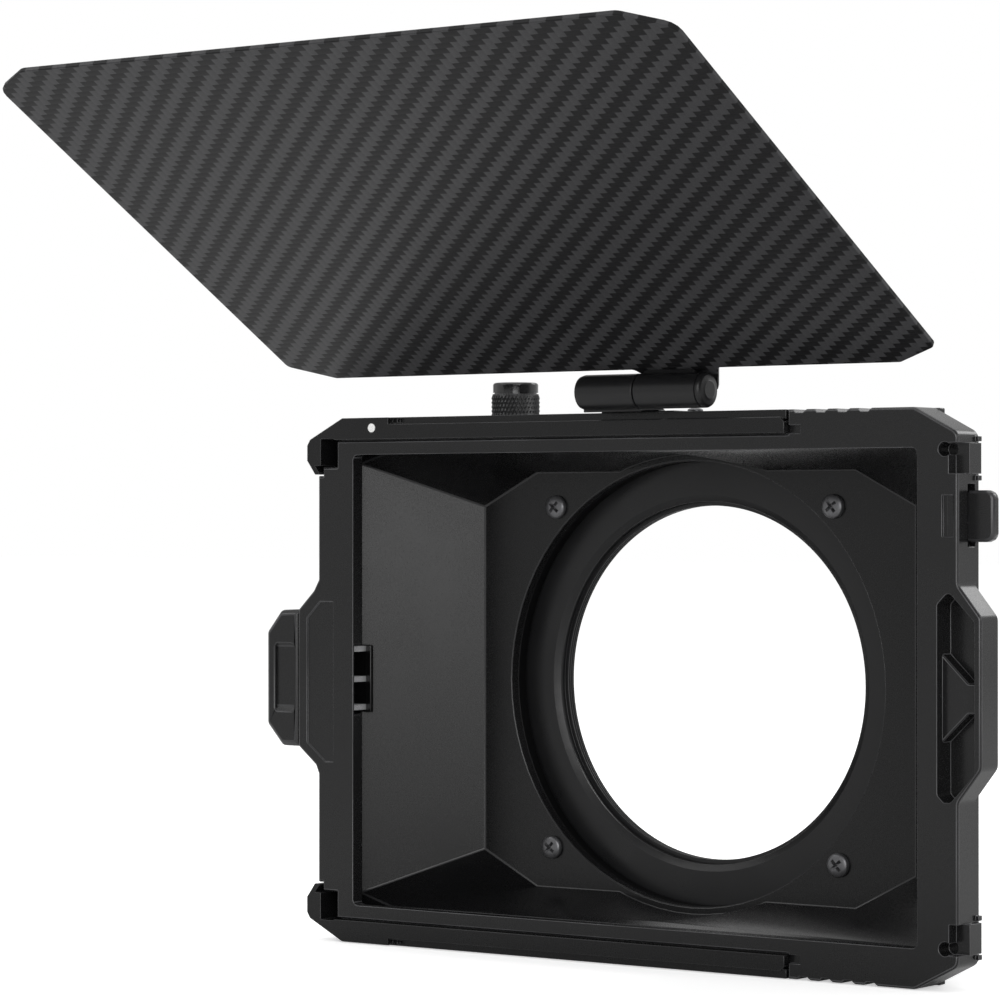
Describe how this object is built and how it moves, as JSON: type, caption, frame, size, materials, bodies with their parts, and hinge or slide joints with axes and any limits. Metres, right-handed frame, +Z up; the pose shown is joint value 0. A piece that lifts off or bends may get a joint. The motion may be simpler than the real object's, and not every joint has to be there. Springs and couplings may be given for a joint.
{
  "type": "camera matte box",
  "caption": "Lens-mounted matte box: tapered hood on a ring collar, sliding filter tray with sprung latch, lock knob and hinged carbon top flag.",
  "frame": {"origin": "centre of the lens seat, at the back of the lens ring's spigot, on the optical axis", "axes": "+Y back along the optical axis towards the camera, +X to the right as seen from in front, +Z up"},
  "size_m": [0.1792, 0.146, 0.1786],
  "materials": {
    "moulded": "fine satin moulded black, hood and rails",
    "moulded_tray": "fine satin moulded black, tray",
    "moulded_grip": "satin black, touched pieces",
    "gloss_cap": "smooth glossy black cap",
    "shoe_nylon": "black nylon",
    "anodised": "black anodised, fine turned",
    "black_steel": "black oxide steel",
    "spring_steel": "bright spring steel",
    "carbon": "carbon fibre twill under satin resin",
    "marking": "white inlay"
  },
  "bodies": {
    "housing": {"hood_shell": "moulded", "rail_top": "moulded", "rail_bottom": "moulded", "index_dot": "marking", "clamp_collar": "anodised", "snap_ring": "spring_steel", "hinge_bracket": "anodised", "hinge_pin": "black_steel", "rail_screw_top_1": "black_steel", "rail_screw_top_2": "black_steel", "rail_screw_top_3": "black_steel", "rail_screw_bottom_1": "black_steel", "rail_screw_bottom_2": "black_steel", "rail_screw_bottom_3": "black_steel", "collar_screw_1": "black_steel", "collar_screw_2": "black_steel", "collar_screw_3": "black_steel", "collar_screw_4": "black_steel", "bracket_screw_1": "black_steel", "bracket_screw_2": "black_steel"},
    "lens_ring": {"adapter_ring": "anodised"},
    "lock_knob": {"knob_body": "anodised", "knob_cap": "gloss_cap", "lock_stud": "black_steel", "lock_clip": "spring_steel"},
    "lock_slide": {"lock_shoe": "shoe_nylon"},
    "flag": {"flag_panel": "carbon", "flag_leaf": "anodised", "flag_clamp": "anodised", "hinge_washer": "spring_steel", "flag_screw_1": "black_steel", "flag_screw_2": "black_steel"},
    "tray": {"tray_frame": "moulded_tray", "tray_catch": "spring_steel", "catch_rivet": "black_steel", "latch_cover": "moulded_tray", "latch_cover_screw_1": "black_steel", "latch_cover_screw_2": "black_steel", "latch_spring_upper": "spring_steel", "latch_spring_lower": "spring_steel"},
    "latch": {"latch_grip": "moulded_grip", "latch_tip": "moulded_grip", "latch_bar_1": "spring_steel", "latch_bar_2": "spring_steel", "latch_bar_3": "spring_steel"},
    "button": {"release_button": "moulded_grip"}
  },
  "joints": [
    {"name": "ring_turn", "type": "hinge", "parent": "housing", "child": "lens_ring", "pos_m": [0, -0.007, 0], "axis": [0, 1, 0], "continuous": true},
    {"name": "knob_turn", "type": "hinge", "parent": "housing", "child": "lock_knob", "pos_m": [-0.05295, -0.007, 0], "axis": [0, 0, 1], "range_deg": [0, 270.01]},
    {"name": "shoe_slide", "type": "slide", "parent": "housing", "child": "lock_slide", "axis": [0, 0, 1], "range_m": [-0.0006, 0]},
    {"name": "flag_fold", "type": "hinge", "parent": "housing", "child": "flag", "pos_m": [0, -0.0486, 0.06045], "axis": [1, 0, 0], "range_deg": [-28, 118]},
    {"name": "tray_slide", "type": "slide", "parent": "housing", "child": "tray", "axis": [1, 0, 0], "range_m": [0, 0.175], "deforming": ["tray_catch"]},
    {"name": "latch_pull", "type": "slide", "parent": "tray", "child": "latch", "axis": [-1, 0, 0], "range_m": [0, 0.002], "stiffness_N_per_m": 400, "springref_m": -0.0005, "deforming": ["latch_spring_upper", "latch_spring_lower"]},
    {"name": "button_press", "type": "slide", "parent": "tray", "child": "button", "axis": [-1, 0, 0], "range_m": [0, 0.0022], "stiffness_N_per_m": 400, "springref_m": -0.0005}
  ],
  "couplings": [
    {"joint": "knob_turn", "follows": "shoe_slide", "rad_per_m": -7854}
  ]
}
